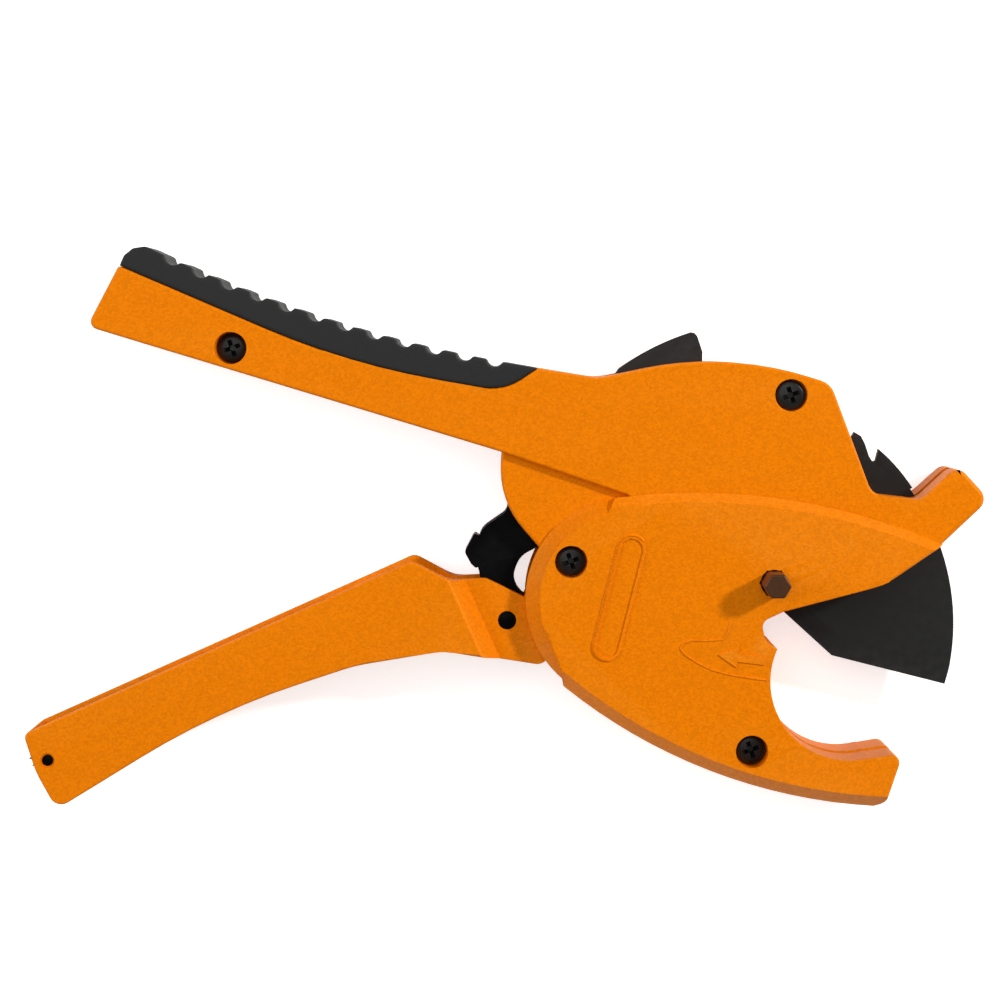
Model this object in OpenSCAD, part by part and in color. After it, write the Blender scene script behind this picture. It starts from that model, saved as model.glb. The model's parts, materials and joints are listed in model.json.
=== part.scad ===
// Ratchet cutter for plastic pipe, lying flat on its rear face.
// The blade pivot axis is the Z axis, and the rear face is the plane z = 0.

/* [Head] */
// Largest pipe the jaw takes, which scales the whole head in plan
pipe_capacity = 42; // [35:1:50]
// Thickness of the jaw panel, which is the thickest part of the casing
panel_thickness = 26; // [25:0.5:31]
// Thickness of the handle and of the upper head
handle_thickness = 22; // [21.5:0.5:24.5]
// Thickness of the recessed disc beside the trigger pivot
disc_thickness = 17.6; // [17.4:0.2:20]
// Wall of the two cast shells
wall = 2.4; // [2:0.1:2.8]

/* [Handles] */
// Length of the upper handle from the head to its end
grip_length = 114; // [95:1:137]
// Width of the trigger handle across its two walls
trigger_width = 22; // [20:0.5:24]
// Wall of the trigger channel
trigger_wall = 2; // [1.6:0.1:2.4]
// Angle the trigger closes through, in degrees
trigger_travel = 42; // [36:1:42]

/* [Blade] */
// Thickness of the blade plate
blade_thickness = 2.5; // [2:0.1:3]
// Angle the blade closes through from its rest position, in degrees
blade_close = 50; // [44:1:50]
// Angle the blade opens through from its rest position, in degrees
blade_open = 24; // [18:1:24]
// Depth of the ratchet teeth
tooth_depth = 1.9; // [1.4:0.1:2.2]

/* [Pins and screws] */
// Shank diameter of the blade pivot pin
blade_pin_dia = 7; // [6:0.1:7.4]
// Height of the hexagonal pin end above the panel
pin_stand = 9; // [6:0.5:11]
// Outside diameter of the trigger pivot bush
bush_dia = 7; // [6.2:0.1:7.4]
// Diameter of the pin that carries the drive pawl
pawl_pin_dia = 4.8; // [4:0.1:5]
// Diameter of the latch pin and of the catch bar
latch_pin_dia = 3; // [2.6:0.1:3.4]
// Diameter of the case screws
screw_dia = 3.5; // [3:0.1:3.8]
// Diameter of the screw heads
screw_head_dia = 8; // [7:0.1:8.4]

/* [Fits] */
// Radial running clearance of everything that turns on a pin
run_fit = 0.05; // [0.02:0.01:0.1]
// Side clearance between the blade and the slots it passes through
blade_gap = 0.5; // [0.3:0.05:0.6]
// Clearance kept around fixed posts that stand in the blade plane
post_gap = 0.5; // [0.3:0.1:0.6]

/* [Hidden] */
$fn = 96;
eps = 0.01;
big = 400;

// Plan scale of the head
s = pipe_capacity / 42;
mid_z = panel_thickness / 2;
panel_h = panel_thickness / 2;
handle_h = handle_thickness / 2;
disc_h = disc_thickness / 2;
chamfer_drop = panel_h - disc_h;
blade_h = blade_thickness / 2;
slot_h = blade_h + blade_gap;

// Places of the pivots and posts in plan
jaw_r = pipe_capacity / 2;
jaw_c = [20 * s, -26.2 * s];
trigger_pivot = [-54 * s, 5.6 * s];
handle_root = [-72.4 * s, 34.7 * s];
handle_angle = 163.15;
trigger_angle = 204.1;
head_screw_at = [4.8 * s, 49.9 * s];
jaw_screw_at = [-5.9 * s, -44.9 * s];
pawl_at = [-71 * s, -10.7 * s];
hold_at = [-68.5 * s, 45.8 * s];
trigger_len = grip_length + 39;
neck_len = 40 * s;
grip_ref = 114;
trigger_ref = 113;

// Layers of the mechanism, as distances from the blade plane
washer_t = 0.8;
washer_gap = 0.05;
washer_r = blade_pin_dia / 2 + 2.6;
pin_boss_z = blade_h + washer_t + 2 * washer_gap;
cheek_in = blade_h + 0.75;
cheek_t = 1.6;
cheek_out = cheek_in + cheek_t;
neck_in = cheek_out + 0.9;
neck_wall = 2;
neck_out = neck_in + neck_wall;
throat_h = neck_out + 0.25;
bush_end = neck_out + 0.2;

// Fixed posts in the blade plane
post_r = 3;
jaw_post_r = 4;
recess_r = screw_head_dia / 2 + 0.3;
boss_r = recess_r + 1.1;
screw_hole_r = screw_dia / 2 + run_fit;
screw_head_h = 2.4;
deep = 3.4;
shallow = 0.6;

// Blade plate in plan
back_r = 45.9 * s;
hub_r = blade_pin_dia / 2 + 4.2;
plate_r = 40 * s;
rim_out = 70 * s;
tooth_tip_r = 69 * s;
rim_start = 106.4;
tooth_start = 127;
rim_end = 152;
tooth_count = 9;
tip_reach = 57.2 * s;
heel_reach = 34 * s;
rim_reach = rim_out + 0.7;
front_arc_r = 61.9 * s;
front_arc_c = [-12 * s, -12 * s];

edge_heel = [2.5 * s, -7.7 * s];
edge_knee = [17 * s, -20.9 * s];
edge_tip = [48.2 * s, -28.8 * s];

// Room the blade must leave around the two posts, as angles in its rest frame
head_post_r = norm(head_screw_at);
head_post_a = atan2(head_screw_at[1], head_screw_at[0]);
bush_post_r = norm(trigger_pivot);
bush_post_a = atan2(trigger_pivot[1], trigger_pivot[0]);
head_post_room = post_r + post_gap;
bush_post_room = bush_dia / 2 + post_gap;
spoke_from = head_post_a + blade_close + asin(head_post_room / head_post_r);
spoke_to = bush_post_a - blade_open - asin(bush_post_room / bush_post_r);
rim_in = bush_post_r + bush_post_room + 0.5;

// Latch, worked out from the closed position of the trigger
latch_travel = 47;
latch_r = 5.6;
latch_h = 3;
bar_r = latch_pin_dia / 2;

function polar(r, a) = [r * cos(a), r * sin(a)];
function turned(p, a) = [p[0] * cos(a) - p[1] * sin(a), p[0] * sin(a) + p[1] * cos(a)];
function unit(p) = p / norm(p);
function left_of(p) = [-p[1], p[0]];
function head(x, y, r = 0) = [x * s, y * s, r * s];

// A point on the upper handle: u along it from the head, v above its lower edge
function grip_u(u) = u * grip_length / grip_ref;
function on_grip(u, v, r = 0) =
  let (d = polar(1, handle_angle), n = [d[1], -d[0]], p = handle_root + grip_u(u) * d + v * s * n)
  [p[0], p[1], r * s];

// A point on the trigger: u along it from its pivot, v towards the upper handle
function trigger_u(u) = u <= 40 ? u * s : neck_len + (u - 40) * (trigger_len - neck_len) / trigger_ref;
function on_trigger(u, v, r = 0) =
  let (d = polar(1, trigger_angle), n = [d[1], -d[0]], p = trigger_pivot + trigger_u(u) * d + v * s * n)
  [p[0], p[1], r * s];

// Outlines are lists of corners [x, y, radius]; round_off turns each corner into an arc
sagitta = 0.04;
function corner_arc(a, b, c) =
  let (
    p = [b[0], b[1]],
    d0 = unit([a[0], a[1]] - p),
    d1 = unit([c[0], c[1]] - p),
    half = acos(max(-1, min(1, d0 * d1))) / 2,
    r = b[2]
  )
  r < 0.05 || half > 89.5 ? [p] :
  let (
    centre = p + unit(d0 + d1) * r / sin(half),
    start = p + d0 * r / tan(half),
    from = atan2(start[1] - centre[1], start[0] - centre[0]),
    side = cross(d0, d1) > 0 ? -1 : 1,
    sweep = 180 - 2 * half,
    steps = max(2, ceil(sweep / (2 * acos(1 - min(0.5, sagitta / r)))))
  )
  [for (i = [0 : steps]) centre + polar(r, from + side * sweep * i / steps)];
function round_off(c) =
  let (n = len(c))
  [for (i = [0 : n - 1]) each corner_arc(c[(i + n - 1) % n], c[i], c[(i + 1) % n])];

// Moves every corner of an anticlockwise outline inwards by d (outwards if d is negative)
function inset(c, d) =
  let (n = len(c))
  [for (i = [0 : n - 1])
    let (
      a = [c[(i + n - 1) % n][0], c[(i + n - 1) % n][1]],
      b = [c[i][0], c[i][1]],
      e = [c[(i + 1) % n][0], c[(i + 1) % n][1]],
      n0 = left_of(unit(b - a)),
      n1 = left_of(unit(e - b)),
      p = b + d * (n0 + n1) / (1 + n0 * n1),
      convex = cross(b - a, e - b) > 0,
      r = convex ? max(0.2, c[i][2] - d) : c[i][2] + d
    )
    [p[0], p[1], max(0, r)]];

latch_at = on_trigger(149.1, 8.5);
bar_at = on_grip(grip_ref - 6 * grip_ref / grip_length, 7.5);
grip_screw_at = on_grip(77.3, 5.6);
latch_closed = trigger_pivot + turned([latch_at[0], latch_at[1]] - trigger_pivot, -trigger_travel);
to_bar = [bar_at[0], bar_at[1]] - latch_closed;
arm_angle = trigger_angle - 180;
bar_angle = atan2(to_bar[1], to_bar[0]) - (arm_angle - trigger_travel + latch_travel);
hook_at = polar(norm(to_bar), bar_angle);

// Handle and upper head, anticlockwise
function upper_outline() = [
  on_grip(0, 0),
  [-39 * s, 23.2 * s, 0],
  head(-20, 8),
  head(30, 6),
  head(44.9, 9.9),
  head(57.8, 22, 3.6),
  head(49.4, 31.2, 3),
  head(39.3, 21.9, 4),
  head(26.4, 23.4, 4.5),
  head(15.4, 53, 5.5),
  head(-12.1, 61.7, 87),
  head(-46.5, 54.4, 14),
  head(-62.8, 57.1),
  on_grip(4.3, 15.6, 14),
  on_grip(46, 10.6, 210),
  on_grip(112.3, 18, 0.8),
  on_grip(115.7, 0, 2.2)
];

// Recessed disc behind the trigger pivot, anticlockwise
function disc_outline() = [
  head(-35, 30),
  on_grip(-1, 2),
  on_grip(0, 0),
  head(-73.6, 21.6, 24),
  head(-58, 4.5),
  head(-40, -5)
];

// Space in front of the panel: the mouth, the notch at the blade's heel and the lip
function mouth_outline() = [
  head(44.9, 9.9),
  head(29.5, -0.6, 22),
  head(2.4, -7.7, 1.2),
  head(-3.4, -10.4, 2.4),
  head(-2.2, -15.6, 2),
  head(1.3, -17.8, 1.4),
  head(-0.6, -26.4),
  head(20, -30),
  head(24.6, -46.8, 1.5),
  head(34.5, -45.1, 2.2),
  head(29.7, -59, 2.8),
  head(24, -61.2),
  head(90, -80),
  head(90, 10)
];
function mouth_core() = [
  head(44.9, 9.9),
  head(29.5, -0.6),
  head(-3.2, -9.4),
  head(-2.8, -20),
  head(-0.6, -26.4),
  head(20, -30),
  head(24.6, -46.8),
  head(34.2, -45.2),
  head(29.4, -58.6),
  head(24, -62),
  head(90, -80),
  head(90, 10)
];

// Way in for the trigger neck and the drive pawl
function throat_outline() = [
  head(-71.3, 34.1),
  head(-85, 30.3),
  head(-85, -23),
  head(-57, -25.2),
  head(-44, -20),
  head(-42, 20),
  head(-50, 41),
  head(-64, 43),
  head(-69, 38)
];

panel_bottom_c = [35.3 * s, 84.7 * s];
panel_bottom_r = 145 * s;
panel_top_c = [-20.9 * s, -140.3 * s];
panel_top_r = 164.2 * s;
panel_left_c = [-38.3 * s, -4.8 * s];
panel_left_r = 27.8 * s;
bottom_bevel = 3.4;
top_bevel = 2.4;
left_bevel = 3.8;
step_drop = panel_h - handle_h;

// Jaw panel between three large arcs; d is how far the edges are pulled in
module panel_plan(d) {
  intersection() {
    translate(panel_bottom_c) circle(r = panel_bottom_r - d, $fn = 360);
    translate(panel_top_c) circle(r = panel_top_r - d, $fn = 360);
    union() {
      translate(panel_left_c) circle(r = panel_left_r - d);
      polygon([
        [-56.1 * s + d, -25.4 * s],
        [-55.8 * s + d, -31 * s],
        [-48 * s + d, -50 * s],
        [90 * s, -80 * s],
        [90 * s, 30 * s],
        [-38.3 * s, 30 * s]
      ]);
    }
  }
}

// The same panel as a solid with bevelled edges, from the blade plane up
module panel_solid() {
  intersection() {
    linear_extrude(panel_h) difference() {
      panel_plan(0);
      polygon(round_off(mouth_outline()));
      translate(jaw_c) circle(r = jaw_r);
    }
    translate([panel_bottom_c[0], panel_bottom_c[1], 0]) bevelled(panel_bottom_r, bottom_bevel, chamfer_drop);
    translate([panel_top_c[0], panel_top_c[1], 0]) bevelled(panel_top_r, top_bevel, step_drop);
    union() {
      translate([panel_left_c[0], panel_left_c[1], 0]) bevelled(panel_left_r, left_bevel, chamfer_drop);
      linear_extrude(panel_h - chamfer_drop) square(big, center = true);
      linear_extrude(panel_h) polygon([
        [-60.7 * s, -13.4 * s],
        [-55.9 * s, -25.6 * s],
        [-55.6 * s, -31 * s],
        [-47 * s, -60 * s],
        [90 * s, -80 * s],
        [90 * s, 30 * s],
        [-38.3 * s, 30 * s]
      ]);
    }
  }
}

module bevelled(r, across, drop) {
  cylinder(h = panel_h - drop + eps, r = r, $fn = 360);
  translate([0, 0, panel_h - drop]) cylinder(h = drop, r1 = r, r2 = r - across, $fn = 360);
}

module slice(points, h) {
  linear_extrude(h) polygon(points);
}

module casing_outside() {
  slice(round_off(upper_outline()), handle_h);
  slice(round_off(disc_outline()), disc_h);
  panel_solid();
}

module casing_cavity() {
  translate([0, 0, -eps]) {
    slice(round_off(inset(upper_outline(), wall)), handle_h - wall + eps);
    linear_extrude(panel_h - wall + eps) difference() {
      panel_plan(wall + bottom_bevel / 2);
      polygon(round_off(inset(mouth_core(), -wall)));
      translate(jaw_c) circle(r = jaw_r + wall);
    }
    slice(round_off(throat_outline()), throat_h + eps);
    // slot the blade and its toothed rim pass through
    linear_extrude(slot_h + eps) {
      circle(r = hub_r + blade_gap);
      intersection() {
        circle(r = heel_reach / 2);
        polygon([[0, 0], polar(big, -78 - blade_close), polar(big, -90), polar(big, -45)]);
      }
      intersection() {
        circle(r = heel_reach);
        polygon([[0, 0], polar(big, -57 - blade_close), polar(big, -45), polar(big, 0)]);
      }
      intersection() {
        circle(r = tip_reach);
        polygon([[0, 0], polar(big, -45 - blade_close), polar(big, -40), polar(big, 0), polar(big, 45), polar(big, 90)]);
      }
      intersection() {
        circle(r = rim_reach);
        polygon([[0, 0], polar(big, 40), polar(big, 90), polar(big, 135), polar(big, 180)]);
      }
    }
    cylinder(h = pin_boss_z + eps, r = washer_r + 0.5);
    // way in for the latch hook, and the seat of the grip pad's tongue
    slice([on_grip_xy(96, -3), on_grip_xy(96, 10), on_grip_xy(118, 10), on_grip_xy(118, -3)], latch_h + 0.6);
    slice(tongue_outline(0.1), tongue_h + 0.1);
  }
}

tongue_h = 3;
function on_grip_xy(u, v) = let (p = on_grip(u, v)) [p[0], p[1]];
function tongue_outline(d) = [
  on_grip_xy(12 - d, 10.2 - d),
  on_grip_xy(12 - d, 17),
  on_grip_xy(88 + d, 17),
  on_grip_xy(88 + d, 10.2 - d)
];

module at(p, z = 0) {
  translate([p[0], p[1], z]) children();
}

// Posts that the screws and pins run in, drawn from the blade plane up
module casing_posts(pin_boss) {
  at(grip_screw_at) cylinder(h = handle_h - eps, r = boss_r);
  at(head_screw_at) cylinder(h = handle_h - eps, r = post_r);
  at(head_screw_at, slot_h) cylinder(h = handle_h - slot_h - eps, r = boss_r);
  at(jaw_screw_at) cylinder(h = panel_h - eps, r = jaw_post_r);
  at(jaw_screw_at, slot_h) cylinder(h = panel_h - slot_h - eps, r = boss_r);
  at(trigger_pivot, bush_end) cylinder(h = panel_h - bush_end - eps, r = boss_r);
  at([0, 0], pin_boss) cylinder(h = panel_h - pin_boss - eps, r = blade_pin_dia / 2 + 3.9);
  at(hold_at, hold_boss_z) cylinder(h = handle_h - hold_boss_z - eps, r = 3.4);
  at(bar_at, latch_h + 0.6) cylinder(h = handle_h - latch_h - 0.6 - eps, r = bar_r + 1.6);
  casing_ribs();
}

rib_t = 1.6;
module casing_ribs() {
  for (u = [24, 42, 60])
    slice([on_grip_xy(u, 0.5), on_grip_xy(u, 8), on_grip_xy(u + rib_t, 8), on_grip_xy(u + rib_t, 0.5)],
      handle_h - eps);
}

module casing_half(pin_boss) {
  difference() {
    casing_outside();
    casing_cavity();
  }
  intersection() {
    casing_outside();
    casing_posts(pin_boss);
  }
}

hex_ledge = 6;
hex_flats = 6.3;
hex_fit = 0.2;
hex_corner_r = hex_flats / 2 + 0.4;
module hexagon(flats, h) {
  cylinder(h = h, r = flats / (2 * cos(30)), $fn = 6);
}

module screw_way(p, top, depth) {
  at(p, -eps) cylinder(h = big, r = screw_hole_r);
  at(p, top - depth - screw_head_h) cylinder(h = big, r = recess_r);
}

emboss_h = 0.4;
emboss_c = [-41.1 * s, -4 * s];
emboss_angle = 75.6;
emboss_len = 34;
emboss_w = 7.5;
emboss_line = 0.8;
module slot_plan(len, w) {
  square([len - w, w], center = true);
  for (x = [-1, 1]) translate([x * (len - w) / 2, 0]) circle(d = w);
}

// Raised plain frame and a raised arrow that shows which way the blade turns
module front_emboss() {
  at(emboss_c, panel_h - eps) rotate(emboss_angle) linear_extrude(emboss_h) difference() {
    slot_plan(emboss_len * s, emboss_w * s);
    slot_plan(emboss_len * s - 2 * emboss_line, emboss_w * s - 2 * emboss_line);
  }
  at([-2.4 * s, -20.8 * s], panel_h - eps) rotate(172) linear_extrude(emboss_h) polygon([
    [0, -1.1 * s], [0, 1.1 * s], [7.5 * s, 1.1 * s], [7.5 * s, 2.6 * s],
    [12.6 * s, 0], [7.5 * s, -2.6 * s], [7.5 * s, -1.1 * s]
  ]);
}

module front_shell() {
  color("darkorange") translate([0, 0, mid_z]) {
    difference() {
      casing_half(pin_boss_z + clip_t + 0.15);
      screw_way(grip_screw_at, handle_h, deep);
      screw_way(head_screw_at, handle_h, shallow);
      screw_way(jaw_screw_at, panel_h, deep);
      screw_way(trigger_pivot, panel_h, panel_h - bush_end - 1.8 - screw_head_h);
      translate([0, 0, -eps]) cylinder(h = big, r = blade_pin_dia / 2 + run_fit);
      translate([0, 0, panel_h - hex_ledge]) hexagon(hex_flats + 2 * hex_fit, big);
      at(hold_at, -eps) cylinder(h = hold_pin_half + 0.2, r = hold_pin_r + run_fit);
      at(bar_at, -eps) cylinder(h = bar_half + 0.2, r = bar_r + run_fit);
    }
    front_emboss();
  }
}

rear_thread = 9;
pin_bore = 10;
module rear_shell() {
  color("darkorange") translate([0, 0, mid_z]) mirror([0, 0, 1]) difference() {
    casing_half(pin_boss_z);
    for (p = [grip_screw_at, head_screw_at, jaw_screw_at, trigger_pivot])
      at(p, -eps) cylinder(h = rear_thread, r = screw_hole_r);
    translate([0, 0, -eps]) cylinder(h = pin_bore, r = blade_pin_dia / 2 + run_fit);
    at(hold_at, -eps) cylinder(h = hold_pin_half + 0.2, r = hold_pin_r + run_fit);
    at(bar_at, -eps) cylinder(h = bar_half + 0.2, r = bar_r + run_fit);
  }
}

groove_count = 12;
groove_pitch = 8.18;
groove_first = 8.9;
groove_depth = 2.3;
pad_gap = 0.03;
function pad_top(u) = 20.6 - u / 220 + (u - 48) * (u - 48) / 714;
function pad_outline() = concat(
  [for (i = [0 : 20]) let (u = 107 - i * 5.2) on_grip_xy(u, pad_top(u) + (i == 0 ? 0 : 0.1))],
  [head_xy(-62.9, 57.12)],
  [for (p = round_off([
    head(-62.8, 57.1),
    on_grip(4.3, 15.6 + pad_gap, 14),
    on_grip(46, 10.6 + pad_gap, 210),
    on_grip(112.1, 18 + pad_gap)
  ])) [p[0], p[1]]],
  [on_grip_xy(111.8, 21), on_grip_xy(110, 23.6)]
);
function head_xy(x, y) = [x * s, y * s];

tongue_lap = 0.6;
module grip_pad() {
  color("dimgray") translate([0, 0, mid_z]) {
    difference() {
      translate([0, 0, -handle_h]) slice(pad_outline(), handle_thickness);
      for (i = [0 : groove_count - 1]) {
        u = groove_first + i * groove_pitch;
        at(on_grip_xy(u, pad_top(u) + 0.6), -handle_h - eps)
          cylinder(h = handle_thickness + 2 * eps, r = groove_depth * 0.95);
      }
    }
    translate([0, 0, -tongue_h]) linear_extrude(2 * tongue_h) difference() {
      intersection() {
        polygon(tongue_outline(0));
        difference() {
          polygon(round_off(inset(upper_outline(), -tongue_lap)));
          polygon(round_off(inset(upper_outline(), 4)));
        }
      }
      at(grip_screw_at) circle(r = boss_r + run_fit);
    }
  }
}

cross_w = 1.1;
module screw(p, head_z, tip_z) {
  color("#222222") at(p, mid_z) difference() {
    union() {
      translate([0, 0, tip_z]) cylinder(h = head_z - tip_z, r = screw_dia / 2);
      translate([0, 0, head_z]) cylinder(h = screw_head_h * 0.6, r = screw_head_dia / 2);
      translate([0, 0, head_z + screw_head_h * 0.6])
        cylinder(h = screw_head_h * 0.4, r1 = screw_head_dia / 2, r2 = screw_head_dia / 2 - 0.9);
    }
    for (a = [0, 90]) rotate(a + 20)
      translate([-screw_head_dia * 0.28, -cross_w / 2, head_z + screw_head_h * 0.4])
        cube([screw_head_dia * 0.56, cross_w, screw_head_h]);
  }
}

screw_tip = -rear_thread + 0.6;
seat_gap = 0.02;
module handle_screw() {
  screw(grip_screw_at, handle_h - deep - screw_head_h + seat_gap, screw_tip);
}
module head_screw() {
  screw(head_screw_at, handle_h - shallow - screw_head_h + seat_gap, screw_tip);
}
module jaw_screw() {
  screw(jaw_screw_at, panel_h - deep - screw_head_h + seat_gap, screw_tip);
}
module trigger_pivot_screw() {
  screw(trigger_pivot, bush_end + 1.8 + seat_gap, screw_tip);
}

module trigger_bush() {
  color("silver") at(trigger_pivot, mid_z - bush_end + 0.03) difference() {
    cylinder(h = 2 * bush_end - 0.06, r = bush_dia / 2);
    translate([0, 0, -eps]) cylinder(h = big, r = screw_hole_r);
  }
}

function tooth_angle(i) = tooth_start + 1 + i * (rim_end - tooth_start - 1) / tooth_count;
function rim_points() = concat(
  [polar(rim_in, rim_start + 1.6), polar(rim_out - 6 * s, rim_start), polar(rim_out - 1.6 * s, rim_start + 0.1), polar(rim_out - 0.5 * s, rim_start + 0.5)],
  [for (a = [rim_start + 1.2 : 2 : tooth_start]) polar(rim_out, a)],
  [for (i = [0 : tooth_count - 1]) each [
    polar(tooth_tip_r, tooth_angle(i)),
    polar(tooth_tip_r - tooth_depth, tooth_angle(i) + 0.35)
  ]],
  [polar(tooth_tip_r, rim_end), polar(rim_in, rim_end)]
);

// Narrow notch behind the hook on the blade's back
function hook_notch() = [
  head(24.3, 39.6),
  head(25.9, 36.6, 2),
  head(27, 33.2, 1),
  head(27.9, 31.7, 0.5),
  head(28.8, 31.8, 0.5),
  head(29.7, 35.4),
  head(29.9, 38),
  head(27, 41)
];

// Blade plate at rest: cutting part, hub, spoke and toothed rim
module blade_plan() {
  difference() {
    union() {
      circle(r = hub_r);
      intersection() {
        difference() {
          circle(r = back_r);
          polygon(round_off(hook_notch()));
        }
        polygon([[0, 0], polar(80 * s, 32.4), polar(80 * s, 59.8)]);
      }
      intersection() {
        translate(front_arc_c) circle(r = front_arc_r, $fn = 240);
        polygon([
          [0, 0],
          edge_heel,
          edge_knee,
          edge_tip,
          [62 * s, -20 * s],
          [60 * s, 20 * s],
          polar(80 * s, 32.6)
        ]);
      }
      intersection() {
        circle(r = plate_r);
        polygon([[0, 0], polar(90 * s, 32), polar(90 * s, 60), polar(90 * s, 100), polar(90 * s, spoke_to)]);
      }
      polygon([
        polar(plate_r - 8 * s, spoke_from + 1),
        polar(rim_in + 2 * s, spoke_from),
        polar(rim_in + 2 * s, spoke_to),
        polar(plate_r - 8 * s, spoke_to - 1)
      ]);
      difference() {
        polygon(rim_points());
        circle(r = rim_in, $fn = 240);
      }
      polygon([
        [0, 0],
        polar(plate_r * 0.9, spoke_to - 8),
        polar(plate_r * 0.9, spoke_to),
        polar(hub_r * 0.98, 232)
      ]);
    }
    circle(r = blade_pin_dia / 2 + run_fit);
  }
}

grind = 5.5;
module blade() {
  color("#333333") translate([0, 0, mid_z]) difference() {
    translate([0, 0, -blade_h]) linear_extrude(blade_thickness) blade_plan();
    for (m = [0, 1]) mirror([0, 0, m]) {
      edge_grind(edge_heel, edge_knee);
      edge_grind(edge_knee, edge_tip);
    }
  }
}

// Wedge that grinds one face of the plate down towards the edge from a to b
edge_land = 0.25;
module edge_grind(a, b) {
  d = b - a;
  translate([a[0], a[1], 0]) rotate(atan2(d[1], d[0])) translate([-3 * s, 0, 0]) rotate([90, 0, 90])
    linear_extrude(norm(d) + 9 * s) polygon([[-2, edge_land], [0, edge_land], [grind, blade_h + eps], [-2, 5]]);
}

clip_t = 0.9;
clip_neck_r = blade_pin_dia / 2 - 0.8;
module blade_pin() {
  color("#5a4038") translate([0, 0, mid_z]) {
    difference() {
      translate([0, 0, -pin_bore + 0.2])
        cylinder(h = pin_bore - 0.2 + panel_h - hex_ledge + 0.02, r = blade_pin_dia / 2);
      translate([0, 0, pin_boss_z]) difference() {
        cylinder(h = clip_t, r = blade_pin_dia);
        cylinder(h = clip_t, r = clip_neck_r);
      }
    }
    translate([0, 0, panel_h - hex_ledge + 0.02]) intersection() {
      hexagon(hex_flats, hex_ledge + pin_stand - 0.02);
      union() {
        cylinder(h = hex_ledge + pin_stand - 0.8, r = hex_corner_r);
        translate([0, 0, hex_ledge + pin_stand - 0.82])
          cylinder(h = 0.8, r1 = hex_corner_r, r2 = hex_flats / 2 - 0.5);
      }
    }
  }
}

module pin_clip() {
  color("silver") translate([0, 0, mid_z + pin_boss_z + 0.05]) linear_extrude(clip_t - 0.1) difference() {
    circle(r = blade_pin_dia / 2 + 2.4);
    circle(r = clip_neck_r + 0.05);
    rotate(-60) translate([0, -clip_neck_r * 0.8]) square([big, clip_neck_r * 1.6]);
    for (a = [60, 180]) rotate(a) translate([clip_neck_r + 1, 0]) circle(r = 0.9);
  }
}

module blade_washers() {
  color("silver") for (m = [0, 1]) translate([0, 0, mid_z]) mirror([0, 0, m])
    translate([0, 0, blade_h + washer_gap]) difference() {
      cylinder(h = washer_t, r = washer_r);
      translate([0, 0, -eps]) cylinder(h = washer_t + 2 * eps, r = blade_pin_dia / 2 + run_fit);
    }
}

// Side view of the trigger, anticlockwise, in plan
function trigger_outline() = [
  on_trigger(3, 7.4),
  on_trigger(-7.4, 7.4, 7),
  on_trigger(-7.4, -7.4, 7),
  on_trigger(18.4, -22.8, 3),
  on_trigger(41, -8, 14),
  on_trigger(64, -2, 40),
  on_trigger(103, 2, 200),
  on_trigger(152.3, -4.5, 3.4),
  on_trigger(153.3, 7, 20),
  on_trigger(152.2, 17.5, 1.8),
  on_trigger(38.6, 17.4, 3),
  on_trigger(31.3, 8, 7),
  on_trigger(22.8, 4.8, 3),
  on_trigger(15.4, -4)
];
function trigger_inside() = [
  on_trigger(24, -12.5, 2),
  on_trigger(41, -3.2, 12),
  on_trigger(64, 1, 40),
  on_trigger(103, 5, 200),
  on_trigger(149, -0.8, 4),
  on_trigger(151, 7, 6),
  on_trigger(150, 40),
  on_trigger(-40, 40),
  on_trigger(-40, -12.5)
];

// Half width of the trigger along its length: wide handle, slope, narrow neck
function plan_band(side, wide, narrow) = [
  [-30, 0], [-30, narrow], [(28 - side) * s, narrow], [(32 - side) * s, wide], [trigger_len + 20, wide],
  [trigger_len + 20, 0]
];
module trigger_body(wide, narrow, side) {
  for (m = [0, 1]) mirror([0, 0, m]) at(trigger_pivot) rotate(trigger_angle) rotate([90, 0, 0])
    translate([0, 0, -60]) linear_extrude(120) polygon(plan_band(side, wide, narrow));
}

end_slot = 4.2;
module trigger_handle() {
  color("orange") translate([0, 0, mid_z]) difference() {
    union() {
      difference() {
        intersection() {
          translate([0, 0, -trigger_width / 2]) slice(round_off(trigger_outline()), trigger_width);
          trigger_body(trigger_width / 2, neck_out, 0);
        }
        intersection() {
          translate([0, 0, -trigger_width / 2]) slice(round_off(trigger_inside()), trigger_width);
          trigger_body(trigger_width / 2 - trigger_wall, neck_in, -2.4);
        }
      }
      trigger_ribs();
      for (m = [0, 1]) mirror([0, 0, m]) at(latch_at, latch_h + 0.5)
        cylinder(h = trigger_width / 2 - latch_h - 0.5 - eps, r = bar_r + 1.8);
    }
    translate([0, 0, -big / 2]) {
      at(trigger_pivot) cylinder(h = big, r = bush_dia / 2 + run_fit);
      at(pawl_at) cylinder(h = big, r = pawl_pin_dia / 2 + run_fit);
      at(latch_at) cylinder(h = big, r = bar_r + run_fit);
    }
    for (m = [0, 1]) mirror([0, 0, m]) at(latch_at, trigger_width / 2 - 0.5)
      cylinder(h = 1, r = bar_r + 0.45);
    at(latch_at, -end_slot) rotate(trigger_angle) translate([0, -5 * s, 0]) cube([30, 11 * s, 2 * end_slot]);
  }
}

channel_rib = 1.6;
module trigger_ribs() {
  intersection() {
    slice_both(round_off(trigger_outline()), trigger_width / 2 - 0.5);
    union() {
      for (u = [52.5, 93.2, 111.6]) at(trigger_pivot, -trigger_width / 2 + 0.5) rotate(trigger_angle)
        translate([trigger_u(u), -13.6 * s, 0]) cube([channel_rib, 40 * s, trigger_width - 1]);
    }
  }
}
module slice_both(points, h) {
  translate([0, 0, -h]) slice(points, 2 * h);
}

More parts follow.
